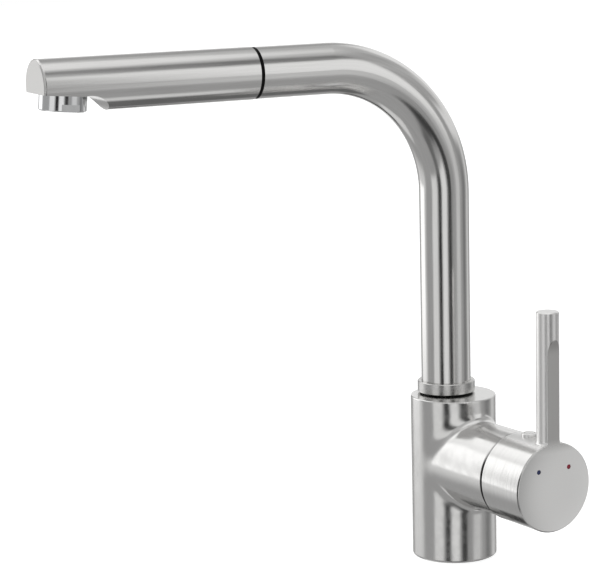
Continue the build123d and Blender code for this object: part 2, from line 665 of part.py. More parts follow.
def make_retaining_nut():
    nut = ring(lever_axis, NUT_RADIUS - FIT, NUT_BORE, nut_seat, nut_front)
    top = (Align.CENTER, Align.CENTER, Align.MAX)
    notch = Box(NUT_RADIUS - NUT_BORE, NUT_NOTCH_WIDTH, NUT_NOTCH_DEPTH, align=top)
    face = lever_axis * Pos(0, 0, nut_front)
    return nut - [face * place * notch for place in PolarLocations(NUT_RADIUS, NUT_NOTCHES)]


def make_dome_cover():
    """A dished ring that closes the housing's mouth round the stem."""
    rim = MOUTH_RADIUS - FIT
    rim_front = nut_front + DOME_RIM
    lip_front = rim_front + DOME_RISE
    outline = [
        (rim, nut_front),
        (rim, rim_front),
        (DOME_OPENING, lip_front),
        (DOME_OPENING, lip_front - DOME_THICKNESS),
        (rim - DOME_THICKNESS, rim_front - DOME_THICKNESS),
        (rim - DOME_THICKNESS, nut_front),
    ]
    half_section = Plane(origin=(0, 0, housing_height), x_dir=(0, 1, 0), z_dir=(0, 0, -1))
    profile = half_section * make_face(Polyline(outline, close=True))
    return revolve(profile, Axis((0, 0, housing_height), (1, 0, 0)), 360)


# ---------------------------------------------------------------- lever handle
def make_handle():
    inside_front = cap_front - CAP_FRONT_WALL
    lever = upright(lever_x, 0)
    rod = round_bar(lever, LEVER_RADIUS, housing_height + LEVER_RADIUS, lever_top)
    rod = chamfer(circles_at(rod, lever, lever_top), LEVER_EDGE)
    cap = round_bar(lever_axis, cap_radius, cap_back, cap_front)
    cap = chamfer(circles_at(cap, lever_axis, cap_front), CAP_EDGE)
    handle = cap + (rod - milled_flat())
    handle = fillet(root_edges(handle), LEVER_ROOT_FILLET)

    boss = upright(boss_x, 0)
    boss_top = housing_height + cap_radius + BOSS_PROUD
    bump = round_bar(boss, BOSS_RADIUS, housing_height + cap_radius / 2, boss_top)
    handle += fillet(circles_at(bump, boss, boss_top), BOSS_ROUND)

    skirt_end = cap_back + SKIRT_LENGTH
    cavity = round_bar(lever_axis, cap_radius - CAP_WALL, skirt_end - THROUGH, inside_front)
    cavity += round_bar(lever_axis, cap_radius - SKIRT_WALL, cap_back - THROUGH, skirt_end)
    cavity -= round_bar(lever_axis, HUB_RADIUS, hub_back, inside_front + THROUGH)
    handle -= cavity
    socket = STEM_SIDE + 2 * FIT
    handle -= lever_axis * Pos(0, 0, hub_back - THROUGH) * Box(
        socket, socket, stem_end + FIT - hub_back + THROUGH, align=UP
    )
    handle -= round_bar(boss, GRUB_RADIUS + FIT, housing_height, housing_height + HUB_RADIUS + THROUGH)
    handle -= round_bar(boss, PLUG_RADIUS + FIT, housing_height + HUB_RADIUS + THROUGH, boss_top + THROUGH)
    holes = [
        round_bar(place, MARKER_RADIUS, cap_front - MARKER_HOLE_DEPTH, cap_front + THROUGH)
        for place in marker_frames()
    ]
    return handle - holes


def milled_flat():
    """The flat on the lever's front, level with the disc, with a round run-out at its top."""
    side_view = Plane(origin=(cap_front, 0, housing_height + FLAT_RISE), x_dir=(1, 0, 0), z_dir=(0, -1, 0))
    reach = 2 * LEVER_RADIUS
    slab = Rectangle(reach, FLAT_RISE, align=(Align.MIN, Align.MAX))
    run_out = Pos(FLAT_CUTTER_RADIUS, 0) * Circle(FLAT_CUTTER_RADIUS)
    return extrude(side_view * (slab + run_out), reach, both=True)


def root_edges(handle):
    """The curve where the lever's side runs into the cap."""
    top = housing_height + cap_radius
    low = housing_height + sqrt(cap_radius**2 - LEVER_RADIUS**2) - CAP_EDGE

    def runs_round_the_root(edge):
        height = edge.center().Z
        curved = edge.geom_type not in (GeomType.LINE, GeomType.CIRCLE)
        return curved and low - 1 < height < top + 1

    return handle.edges().filter_by(runs_round_the_root)


def marker_frames():
    """Cold on the user's side of the disc, hot on the far side."""
    for side in (-1, 1):
        yield lever_axis * Pos(side * MARKER_Y, MARKER_RAISE)


def make_marker(frame):
    back = cap_front - MARKER_HOLE_DEPTH
    return round_bar(frame, MARKER_RADIUS - FIT, back, cap_front - MARKER_SINK)


def make_grub_screw():
    boss = upright(boss_x, 0)
    start = housing_height + STEM_SIDE / 2
    screw = round_bar(boss, GRUB_RADIUS, start, start + GRUB_LENGTH)
    key = boss * Pos(0, 0, start + GRUB_LENGTH - HEX_SOCKET_DEPTH) * extrude(
        RegularPolygon(HEX_SOCKET / 2, 6, major_radius=False), HEX_SOCKET_DEPTH + THROUGH
    )
    return screw - key


def make_screw_plug():
    boss = upright(boss_x, 0)
    top = housing_height + cap_radius + BOSS_PROUD
    plug = round_bar(boss, PLUG_RADIUS, top - PLUG_LENGTH, top)
    return fillet(circles_at(plug, boss, top), PLUG_ROUND)


# ---------------------------------------------------------------- the nodes
def on_spout(make):
    return turn_with_spout(make())


cold, hot = marker_frames()
nodes = {
    "body": make_body(),
    "base_seal": make_base_seal(),
    "hose_guide": make_hose_guide(),
    "upper_swivel_bush": make_upper_bush(),
    "lower_swivel_bush": make_lower_bush(),
    "spout_retaining_screw": make_retainer(),
    "spout_spigot": on_spout(make_spigot),
    "swivel_collar": on_spout(make_collar),
    "spout_tube": on_spout(make_spout_tube),
    "dock_sleeve": on_spout(make_dock_sleeve),
    "dock_ring": on_spout(make_dock_ring),
    "pullout_hose": on_spout(make_hose),
    "hose_ferrule": on_spout(make_ferrule),
    "hose_connector": on_spout(make_hose_connector),
    "connector_seal": on_spout(make_connector_seal),
    "check_valve": on_spout(make_check_valve),
    "head_waterway": on_spout(make_waterway),
    "spray_head_shell": on_spout(make_head_shell),
    "aerator_housing": on_spout(make_aerator_housing),
    "aerator_insert": on_spout(make_aerator_insert),
    "aerator_seal": on_spout(make_aerator_seal),
    "cartridge_base": make_cartridge_base(),
    "cartridge_port_seals": make_port_seals(),
    "cartridge_housing": make_cartridge_housing(),
    "fixed_ceramic_disc": make_fixed_disc(),
    "moving_ceramic_disc": make_moving_disc(),
    "disc_driver": make_disc_driver(),
    "temperature_carrier": make_rotor(),
    "stem_pin": pin_bar(PIN_RADIUS - FIT / 2, PIN_LENGTH - 2 * FIT),
    "cartridge_stem": make_stem(),
    "retaining_nut": make_retaining_nut(),
    "dome_cover": make_dome_cover(),
    "lever_handle": make_handle(),
    "handle_screw": make_grub_screw(),
    "screw_plug": make_screw_plug(),
    "cold_marker": make_marker(cold),
    "hot_marker": make_marker(hot),
}
for name, shape in nodes.items():
    export_step(shape, f"parts/{name}.step")
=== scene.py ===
"""A single-lever kitchen mixer tap with a pull-out spray head, dressed and lit for its photograph.

Metres, +Z up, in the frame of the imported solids. The solids keep their shapes and get their
finishes here. Only the pull-out hose is replaced, by one with a braided jacket.
"""

from math import pi, radians

import bmesh
import bpy
from mathutils import Matrix, Vector


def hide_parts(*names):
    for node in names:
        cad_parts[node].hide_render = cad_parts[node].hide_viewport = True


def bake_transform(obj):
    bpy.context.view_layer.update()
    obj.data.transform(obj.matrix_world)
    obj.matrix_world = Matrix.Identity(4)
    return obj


MM = 0.001

# ---------------------------------------------------------------- the camera
CAMERA_PLACE = (1.0415953, -0.7584846, 0.3804304)
CAMERA_RIGHT = (0.53693742, 0.84332008, -0.02257128)
CAMERA_UP = (-0.13420232, 0.11179924, 0.98462717)
CAMERA_BACK = (0.83287931, -0.52565405, 0.17320471)
CAMERA_LENS = 139.12
CAMERA_SENSOR = 36.0
CAMERA_CLIP = (0.05, 50)

# ---------------------------------------------------------------- places on the object
RISER = Vector((-6.5 * MM, 0, 0))
SPOUT_TURN = radians(-5.5)
SPOUT_HEIGHT = 281 * MM
BEND_RADIUS = 73 * MM
BEND_START = SPOUT_HEIGHT - BEND_RADIUS
BEND_ARC = BEND_RADIUS * pi / 2
ARM_REACH = 240.6 * MM  # from the riser's axis to the end of the head
HEAD_TIP = ARM_REACH - BEND_RADIUS + BEND_ARC + BEND_START  # along the middle line, from the deck
HOUSING_HEIGHT = 57 * MM
CAP_RADIUS = 24.7 * MM
CAP_FRONT = 91 * MM
DISH_ASIDE = 5 * MM  # from the disc's middle to its lowest place
DISH_DEPTH = 0.56 * MM
PARTING = (58.6 * MM, 59.4 * MM)  # the gap between housing and handle
FLAT_TOP = HOUSING_HEIGHT + 73.2 * MM
FLAT_CUTTER_RADIUS = 22 * MM
# the crease between body and housing: how blunt its tip is, how far its rounding reaches and fades
JUNCTION_TIP = 6 * MM
JUNCTION_BLEND = 8 * MM
JUNCTION_FADE = 3 * MM
# the painted shade on the housing beside the gap: where it starts and is full, before the gap and by height
GAP_SHADE = (2.3 * MM, 1.5 * MM)
GAP_SHADE_HEIGHT = (17 * MM, 9 * MM)
GAP_SHADE_LEAST = 0.15
# where a finish of the lever starts and is full: from the top of the cap, and behind its front
LEVER_STARTS = (-7 * MM, 2 * MM)
FRONT_STARTS = (0.25 * MM, 0.1 * MM)
EDGE_SLACK = 0.05 * MM  # this far past the gap still counts as inside it
TIP_SLACK = 0.3 * MM  # the finish of the head's end face begins this far before the end

# ---------------------------------------------------------------- the pull-out hose
HOSE_RADIUS = 7 * MM
HOSE_FOOT = 0.5 * MM
HOSE_END = 103.4 * MM  # along the arm, from the riser's axis
HOSE_SIDES = 40
STRETCH_FROM = 50 * MM
STRETCH_TO = 90 * MM
PULL_OUT = 0.4
HOSE_STEP = 1.25 * MM
HIDDEN_STEP = 4 * MM
BRAID_STRANDS = 20
BRAID_PITCH = 22 * MM
HALVINGS = 40  # enough to find a place on the hose to the last digit

# ---------------------------------------------------------------- the studio
FACING = radians(32.257)  # turns the studio so that azimuth 0 is behind the camera
# name, azimuth, elevation, half width, half height, soft edge (degrees), brightness
STUDIO_CARDS = [
    ("ceiling", 0, 90, 200, 28, 4, 0.92),
    ("high left box", -136, 44, 36, 13, 8, 1.25),
    ("high back box", 151, 22, 14, 20, 5, 0.9),
    ("high back flag", 176, 41, 9, 11, 4, 0.4),
    ("high right flag", 98, 44, 26, 9, 6, 0.42),
    ("high corner flag", 66, 47, 9, 9, 4, 0.22),
    ("low left box", -132, -54, 26, 11, 4, 0.75),
    ("low far box", 176, -20, 21, 7, 2, 0.92),
    ("low left flag", -166, -39, 18, 4.5, 3, 0.03),
    ("low right strip", 82, -61, 13, 6, 4, 0.75),
    ("low back flag", 139, -60, 36, 12, 5, 0.15),
    ("low front flag", 4, -40, 30, 8, 5, 0.15),
    ("low front corner flag", 18, -37, 12, 8, 5, 0.06),
    ("left key skirt", -121, -14, 24, 10, 8, 0.74),
    ("left key box", -125, 9, 17.5, 21, 2, 1.38),
    ("back box", 180, -6, 22, 7, 3, 0.55),
    ("far box", 178, 10, 16, 12, 4, 1.0),
    ("left fill box", -47, 5, 13, 26, 3, 0.8),
    ("front box", -1, 5, 11, 26, 2, 0.85),
    ("front left flag", -22, 3, 6.5, 24, 2, 0.03),
    ("front left flag foot", -20, -30, 8, 10, 4, 0.16),
    ("front right flag", 24, 0, 8.5, 32, 3, 0.05),
    ("right fill", 40, 0, 8, 28, 4, 0.34),
    ("right box skirt", 62, -13, 13, 11, 5, 0.64),
    ("right box", 62, 17, 13, 18, 4, 0.94),
    ("right flag", 100, -14, 9, 14, 6, 0.22),
    ("right back box", 129, 2, 10, 26, 4, 0.66),
    ("back strip", 136, 10, 42, 5, 3, 0.82),
]
# the room between the boxes: brightness below, level and above, and the elevations between them
ROOM_BELOW = 0.38
ROOM_LEVEL = 0.37
ROOM_ABOVE = 0.55
FROM_BELOW = (radians(-50), radians(-8))
TO_ABOVE = (radians(10), radians(45))
FLOOR_SIZE = 6
FLOOR_DARK = (0.80, 0.80, 0.80, 1)
FLOOR_MIDDLE = (0.82, 0.82, 0.82, 1)
FLOOR_LIGHT = (0.84, 0.84, 0.84, 1)
FLOOR_GLOW = 0.72
FLOOR_GRAIN = (60, 4)  # the scale and detail of its noise
WHITE = (1, 1, 1, 1)


# ---------------------------------------------------------------- node helpers
def link(tree, source, target):
    tree.links.new(source, target)


def feed(tree, socket, value):
    """Set a socket to a number or a colour, or link another socket to it."""
    if isinstance(value, (int, float, tuple)):
        socket.default_value = value
    else:
        link(tree, value, socket)


def number(tree, operation, *values):
    """A Math node; each value is a number or a socket."""
    node = tree.nodes.new("ShaderNodeMath")
    node.operation = operation
    for socket, value in zip(node.inputs, values):
        feed(tree, socket, value)
    return node.outputs[0]


def ramp_between(tree, value, low, high, out_low=0.0, out_high=1.0):
    """A smooth step of a value, from low to high."""
    node = tree.nodes.new("ShaderNodeMapRange")
    node.interpolation_type = "SMOOTHSTEP"
    for socket, setting in zip(node.inputs, (value, low, high, out_low, out_high)):
        feed(tree, socket, setting)
    return node.outputs["Result"]


# the Mix node's share, first, second and result for each kind of data
MIX_SOCKETS = {"FLOAT": (0, 2, 3, 0), "VECTOR": (0, 4, 5, 1), "RGBA": (0, 6, 7, 2)}


def blend(tree, kind, share, first, second):
    """first where share is 0, second where it is 1."""
    node = tree.nodes.new("ShaderNodeMix")
    node.data_type = kind
    *places, result = MIX_SOCKETS[kind]
    for place, value in zip(places, (share, first, second)):
        feed(tree, node.inputs[place], value)
    return node.outputs[result]


def blend_value(tree, share, first, second):
    return blend(tree, "FLOAT", share, first, second)


def blend_colour(tree, share, first, second):
    return blend(tree, "RGBA", share, first, second)


def noise(tree, place, scale, detail=2.0, roughness=0.5):
    node = tree.nodes.new("ShaderNodeTexNoise")
    node.inputs["Detail"].default_value = detail
    node.inputs["Roughness"].default_value = roughness
    feed(tree, node.inputs["Scale"], scale)
    link(tree, place, node.inputs["Vector"])
    return node.outputs[0]


def stretched(tree, place, scales):
    """The place, scaled differently along each axis."""
    node = tree.nodes.new("ShaderNodeMapping")
    node.inputs["Scale"].default_value = scales
    link(tree, place, node.inputs["Vector"])
    return node.outputs[0]


def object_place(tree):
    return tree.nodes.new("ShaderNodeTexCoord").outputs["Object"]


def axes_of(tree, place):
    """The X, Y and Z of a place."""
    node = tree.nodes.new("ShaderNodeSeparateXYZ")
    link(tree, place, node.inputs[0])
    return node.outputs


def place_from(tree, x, y, z):
    node = tree.nodes.new("ShaderNodeCombineXYZ")
    for socket, value in zip(node.inputs, (x, y, z)):
        feed(tree, socket, value)
    return node.outputs[0]


def vectors(tree, operation, *values):
    """A Vector Math node; each value is a socket."""
    node = tree.nodes.new("ShaderNodeVectorMath")
    node.operation = operation
    for socket, value in zip(node.inputs, values):
        link(tree, value, socket)
    return node.outputs[0]


def squares(tree, first, second):
    """first squared plus second squared."""
    return number(tree, "MULTIPLY_ADD", first, first, number(tree, "MULTIPLY", second, second))


def turned_about_z(tree, place, angle, centre=(0, 0, 0)):
    node = tree.nodes.new("ShaderNodeVectorRotate")
    node.rotation_type = "Z_AXIS"
    node.inputs["Center"].default_value = centre
    node.inputs["Angle"].default_value = angle
    link(tree, place, node.inputs["Vector"])
    return node.outputs[0]


def new_group(name, inputs, outputs):
    """An empty shader node group, with its input and output nodes."""
    tree = bpy.data.node_groups.new(name, "ShaderNodeTree")
    for label, default in inputs:
        socket = tree.interface.new_socket(name=label, in_out="INPUT", socket_type="NodeSocketFloat")
        socket.default_value = default
    for label in outputs:
        tree.interface.new_socket(name=label, in_out="OUTPUT", socket_type="NodeSocketFloat")
    return tree, tree.nodes.new("NodeGroupInput"), tree.nodes.new("NodeGroupOutput")


def place_group(tree, group, **settings):
    node = tree.nodes.new("ShaderNodeGroup")
    node.node_tree = group
    for label, value in settings.items():
        node.inputs[label.replace("_", " ")].default_value = value
    return node


# ---------------------------------------------------------------- the studio round the object
def soft_box_group():
    tree, given, result = new_group(
        "soft_box",
        [
            ("Azimuth", 0),
            ("Elevation", 0),
            ("Middle azimuth", 0),
            ("Middle elevation", 0),
            ("Half width", 1),
            ("Half height", 1),
            ("Edge", 0.1),
        ],
        ["Share"],
    )
    asked = given.outputs
    away = number(tree, "SUBTRACT", asked["Azimuth"], asked["Middle azimuth"])
    away = number(tree, "ABSOLUTE", number(tree, "WRAP", away, pi, -pi))
    above = number(tree, "SUBTRACT", asked["Elevation"], asked["Middle elevation"])
    above = number(tree, "ABSOLUTE", above)

    def inside(distance, half):
        """1 inside the box, 0 outside it, with its soft edge between them."""
        outer = number(tree, "ADD", asked[half], asked["Edge"])
        inner = number(tree, "SUBTRACT", asked[half], asked["Edge"])
        return ramp_between(tree, distance, outer, inner)

    across = inside(away, "Half width")
    upward = inside(above, "Half height")
    link(tree, number(tree, "MULTIPLY", across, upward), result.inputs["Share"])
    return tree


def light_the_studio():
    world = bpy.data.worlds.new("studio")
    bpy.context.scene.world = world
    world.use_nodes = True
    tree = world.node_tree
    tree.nodes.clear()

    direction = tree.nodes.new("ShaderNodeTexCoord").outputs["Generated"]
    east, north, up = axes_of(tree, turned_about_z(tree, direction, FACING))
    azimuth = number(tree, "ARCTAN2", north, east)
    elevation = number(tree, "ARCSINE", up)

    below = ramp_between(tree, elevation, *FROM_BELOW, ROOM_BELOW, ROOM_LEVEL)
    brightness = blend_value(tree, ramp_between(tree, elevation, *TO_ABOVE), below, ROOM_ABOVE)
    box = soft_box_group()
    for name, az, el, wide, high, edge, level in STUDIO_CARDS:
        card = place_group(
            tree,
            box,
            Middle_azimuth=radians(az),
            Middle_elevation=radians(el),
            Half_width=radians(wide),
            Half_height=radians(high),
            Edge=radians(edge),
        )
        card.label = name
        link(tree, azimuth, card.inputs["Azimuth"])
        link(tree, elevation, card.inputs["Elevation"])
        brightness = blend_value(tree, card.outputs["Share"], brightness, level)

    studio = tree.nodes.new("ShaderNodeBackground")
    link(tree, brightness, studio.inputs["Color"])
    white = tree.nodes.new("ShaderNodeBackground")
    white.inputs["Color"].default_value = WHITE
    seen = tree.nodes.new("ShaderNodeLightPath").outputs["Is Camera Ray"]
    either = tree.nodes.new("ShaderNodeMixShader")
    link(tree, seen, either.inputs[0])
    link(tree, studio.outputs[0], either.inputs[1])
    link(tree, white.outputs[0], either.inputs[2])
    output = tree.nodes.new("ShaderNodeOutputWorld")
    link(tree, either.outputs[0], output.inputs["Surface"])


def set_the_camera():
    data = bpy.data.cameras.new("camera")
    data.lens = CAMERA_LENS
    data.sensor_width = CAMERA_SENSOR
    data.sensor_fit = "HORIZONTAL"
    data.clip_start, data.clip_end = CAMERA_CLIP
    camera = bpy.data.objects.new("camera", data)
    bpy.context.scene.collection.objects.link(camera)
    turn = Matrix((CAMERA_RIGHT, CAMERA_UP, CAMERA_BACK)).transposed().to_4x4()
    camera.matrix_world = Matrix.Translation(CAMERA_PLACE) @ turn
    bpy.context.scene.camera = camera


def lay_the_floor():
    mesh = bpy.data.meshes.new("floor")
    shape = bmesh.new()
    bmesh.ops.create_grid(shape, x_segments=1, y_segments=1, size=FLOOR_SIZE)
    shape.to_mesh(mesh)
    shape.free()
    floor = bpy.data.objects.new("floor", mesh)
    bpy.context.scene.collection.objects.link(floor)
    floor.visible_glossy = False

    finish, tree, shader = new_finish("floor_paper", FLOOR_MIDDLE, metallic=0.0, roughness=0.9)
    grain = noise(tree, object_place(tree), *FLOOR_GRAIN)
    link(tree, blend_colour(tree, grain, FLOOR_DARK, FLOOR_LIGHT), shader.inputs["Base Color"])
    shader.inputs["Specular IOR Level"].default_value = 0.0
    shader.inputs["Emission Color"].default_value = WHITE
    shader.inputs["Emission Strength"].default_value = FLOOR_GLOW
    mesh.materials.append(finish)


# ---------------------------------------------------------------- effects that several finishes share
STROKE_NOISE = (3, 0.6)  # the detail and roughness of a brush stroke's noise
RING_WANDER = 1.6  # how much a lathe ring changes on its way round
# the slower tone under the strokes, as a share of their own scale
COARSE_PIPE = (0.2, 0.2, 0.6)
COARSE_BAR = 0.22
COARSE_RINGS = 0.3
GRAIN_TONE = 240


def pipe_strokes_group():
    """Fine brush strokes along a pipe that follows the spout: riser, bend and arm."""
    settings = [("Stroke width", 0.4 * MM), ("Stroke length", 22 * MM)]
    tree, given, result = new_group("pipe_strokes", settings, ["Height", "Tone", "Along"])
    side, back, up = axes_of(tree, turned_about_z(tree, object_place(tree), -SPOUT_TURN, RISER))
    out = number(tree, "MULTIPLY", back, -1.0)
    inward = number(tree, "SUBTRACT", BEND_RADIUS, out)
    above = number(tree, "SUBTRACT", up, BEND_START)
    angle = number(tree, "ARCTAN2", above, inward)
    angle = number(tree, "MINIMUM", number(tree, "MAXIMUM", angle, 0.0), pi / 2)
    along = number(tree, "MULTIPLY", angle, BEND_RADIUS)
    along = number(tree, "ADD", along, number(tree, "MINIMUM", up, BEND_START))
    past = number(tree, "MAXIMUM", number(tree, "SUBTRACT", out, BEND_RADIUS), 0.0)
    along = number(tree, "ADD", along, past)
    link(tree, along, result.inputs["Along"])
    # across the pipe in the plane of the bend, 0 on its middle line
    inside = number(tree, "MAXIMUM", inward, 0.0)
    higher = number(tree, "MAXIMUM", above, 0.0)
    from_centre = number(tree, "POWER", squares(tree, inside, higher), 0.5)
    across = number(tree, "SUBTRACT", from_centre, BEND_RADIUS)
    width, length = given.outputs["Stroke width"], given.outputs["Stroke length"]
    place = place_from(
        tree,
        number(tree, "DIVIDE", side, width),
        number(tree, "DIVIDE", across, width),
        number(tree, "DIVIDE", along, length),
    )
    link(tree, noise(tree, place, 1.0, *STROKE_NOISE), result.inputs["Height"])
    link(tree, noise(tree, stretched(tree, place, COARSE_PIPE), 1.0), result.inputs["Tone"])
    return tree


def bar_strokes_group():
    """Fine brush strokes along one axis of the object: the strokes run where their scale is small."""
    settings = [(f"Across {axis}", 2200) for axis in "XYZ"]
    tree, given, result = new_group("bar_strokes", settings, ["Height", "Tone"])
    scales = place_from(tree, *[given.outputs[label] for label, _ in settings])
    place = vectors(tree, "MULTIPLY", object_place(tree), scales)
    link(tree, noise(tree, place, 1.0, *STROKE_NOISE), result.inputs["Height"])
    link(tree, noise(tree, place, COARSE_BAR), result.inputs["Tone"])
    return tree


def turned_rings_group():
    """Lathe rings round the axis of the lever housing, for the cap and the disc on its front."""
    settings = [("Ring width", 0.35 * MM)]
    tree, given, result = new_group("turned_rings", settings, ["Height", "Tone", "Dish"])
    out, across, height = axes_of(tree, object_place(tree))
    up = number(tree, "SUBTRACT", height, HOUSING_HEIGHT)
    radius = number(tree, "SQRT", squares(tree, up, across))
    angle = number(tree, "ARCTAN2", up, across)
    outward = number(tree, "ADD", radius, out)
    place = place_from(
        tree,
        number(tree, "DIVIDE", outward, given.outputs["Ring width"]),
        number(tree, "MULTIPLY", number(tree, "COSINE", angle), RING_WANDER),
        number(tree, "MULTIPLY", number(tree, "SINE", angle), RING_WANDER),
    )
    link(tree, noise(tree, place, 1.0, *STROKE_NOISE), result.inputs["Height"])
    link(tree, noise(tree, place, COARSE_RINGS), result.inputs["Tone"])
    aside = number(tree, "SUBTRACT", across, DISH_ASIDE)
    from_low = squares(tree, aside, up)
    share = number(tree, "DIVIDE", from_low, CAP_RADIUS * CAP_RADIUS)
    link(tree, number(tree, "MULTIPLY", share, share), result.inputs["Dish"])
    return tree


def cast_grain_group():
    """The fine grain and slow waves of a polished and satined casting or moulding."""
    settings = [("Grain", 1400), ("Waves", 55)]
    tree, given, result = new_group("cast_grain", settings, ["Height", "Waves", "Tone"])
    place = object_place(tree)
    link(tree, noise(tree, place, given.outputs["Grain"], 3), result.inputs["Height"])
    link(tree, noise(tree, place, given.outputs["Waves"], 1), result.inputs["Waves"])
    link(tree, noise(tree, place, GRAIN_TONE), result.inputs["Tone"])
    return tree


# ---------------------------------------------------------------- finishes
def new_finish(name, colour, metallic, roughness):
    material = bpy.data.materials.new(name)
    material.use_nodes = True
    tree = material.node_tree
    shader = tree.nodes["Principled BSDF"]
    shader.inputs["Base Color"].default_value = colour
    shader.inputs["Metallic"].default_value = metallic
    shader.inputs["Roughness"].default_value = roughness
    return material, tree, shader


def raise_surface(tree, shader, height, strength, distance, under=None):
    """A Bump node into the shader's normal, on top of another bump where one is given."""
    bump = tree.nodes.new("ShaderNodeBump")
    bump.inputs["Strength"].default_value = strength
    bump.inputs["Distance"].default_value = distance
    link(tree, height, bump.inputs["Height"])
    if under is not None:
        link(tree, under, bump.inputs["Normal"])
    link(tree, bump.outputs[0], shader.inputs["Normal"])
    return bump.outputs[0]


def uneven(tree, tone, low, high):
    """A roughness between two limits, as a tone goes from its usual least to its usual most."""
    return ramp_between(tree, tone, *TONE_RANGE, low, high)


STEEL = (0.79, 0.785, 0.775, 1)
STEEL_DULL = (0.71, 0.705, 0.695, 1)
LEVER_BRIGHT = (0.93, 0.925, 0.915, 1)
# the milled flat's own duller colour, and painted shade where it runs on up the cutter's run-out
FLAT_DULL_AND_SHADE = (0.55, 0.545, 0.535, 1)
SATIN_END = (0.56, 0.555, 0.545, 1)
# painted shade for the gap between housing and handle, on both sides of it
GAP_PAINTED_SHADE = (0.02, 0.02, 0.02, 1)
CHROME = (0.82, 0.825, 0.83, 1)
STROKE_DEPTH = 0.03 * MM
WAVE_DEPTH = 0.6 * MM
GRAIN_DEPTH = 0.02 * MM
LINE_RANGE = (0.25, 0.75)  # the stroke heights between which dull turns to bright
TONE_RANGE = (0.3, 0.7)  # a tone's usual least and most


def brushed_pipe(strokes):
    """Fine strokes and slower streaks along the pipe, and a blasted end face on the head."""
    material, tree, shader = new_finish("brushed_pipe", STEEL, metallic=1.0, roughness=0.2)
    lines = place_group(tree, strokes, Stroke_width=0.4 * MM, Stroke_length=22 * MM)
    satin = uneven(tree, lines.outputs["Tone"], low=0.11, high=0.16)
    fine = ramp_between(tree, lines.outputs["Height"], *LINE_RANGE)
    streaks = ramp_between(tree, lines.outputs["Tone"], low=0.35, high=0.65)
    share_of_streaks = 0.45
    brushed = blend_colour(tree, blend_value(tree, share_of_streaks, fine, streaks), STEEL_DULL, STEEL)
    tip = number(tree, "GREATER_THAN", lines.outputs["Along"], HEAD_TIP - TIP_SLACK)
    tip_roughness = 0.38
    link(tree, blend_colour(tree, tip, brushed, SATIN_END), shader.inputs["Base Color"])
    link(tree, blend_value(tree, tip, satin, tip_roughness), shader.inputs["Roughness"])
    raise_surface(tree, shader, lines.outputs["Height"], strength=0.5, distance=STROKE_DEPTH)
    return material


def soft_junction(tree, out, side, up):
    """The normal across the crease between body and housing, rounded as the casting's fillet is."""
    crossed = number(tree, "SUBTRACT", up, HOUSING_HEIGHT)
    from_tip = number(tree, "MULTIPLY_ADD", crossed, crossed, JUNCTION_TIP * JUNCTION_TIP)
    past_crease = number(tree, "SUBTRACT", out, number(tree, "SQRT", from_tip))
    share = ramp_between(tree, past_crease, -JUNCTION_BLEND, JUNCTION_BLEND)
    distance = number(tree, "ABSOLUTE", past_crease)
    near = ramp_between(tree, distance, JUNCTION_BLEND + JUNCTION_FADE, JUNCTION_BLEND)
    away = blend_value(tree, share, out, 0.0)
    above = blend_value(tree, share, 0.0, crossed)
    even = vectors(tree, "NORMALIZE", place_from(tree, away, side, above))
    real = tree.nodes.new("ShaderNodeNewGeometry").outputs["Normal"]
    return blend(tree, "VECTOR", near, real, even)


def satin_casting(grain):
    """A satined casting, soft across its crease, with painted shade beside the gap to the handle."""
    material, tree, shader = new_finish("satin_casting", STEEL, metallic=1.0, roughness=0.2)
    surface = place_group(tree, grain, Grain=1400, Waves=55)
    link(tree, uneven(tree, surface.outputs["Tone"], low=0.15, high=0.21), shader.inputs["Roughness"])
    satin = blend_colour(tree, surface.outputs["Height"], STEEL_DULL, STEEL)
    out, side, up = axes_of(tree, object_place(tree))
    # painted shade on the housing beside the gap to the handle, fainter towards the top
    beside_gap = ramp_between(tree, out, *[PARTING[0] - before for before in GAP_SHADE])
    heights = [HOUSING_HEIGHT + above for above in GAP_SHADE_HEIGHT]
    lower = ramp_between(tree, up, *heights, GAP_SHADE_LEAST, 1.0)
    shaded = number(tree, "MULTIPLY", beside_gap, lower)
    link(tree, blend_colour(tree, shaded, satin, GAP_PAINTED_SHADE), shader.inputs["Base Color"])
    rounded = soft_junction(tree, out, side, up)
    waves = raise_surface(tree, shader, surface.outputs["Waves"], 0.3, WAVE_DEPTH, rounded)
    raise_surface(tree, shader, surface.outputs["Height"], 0.1, GRAIN_DEPTH, waves)
    return material


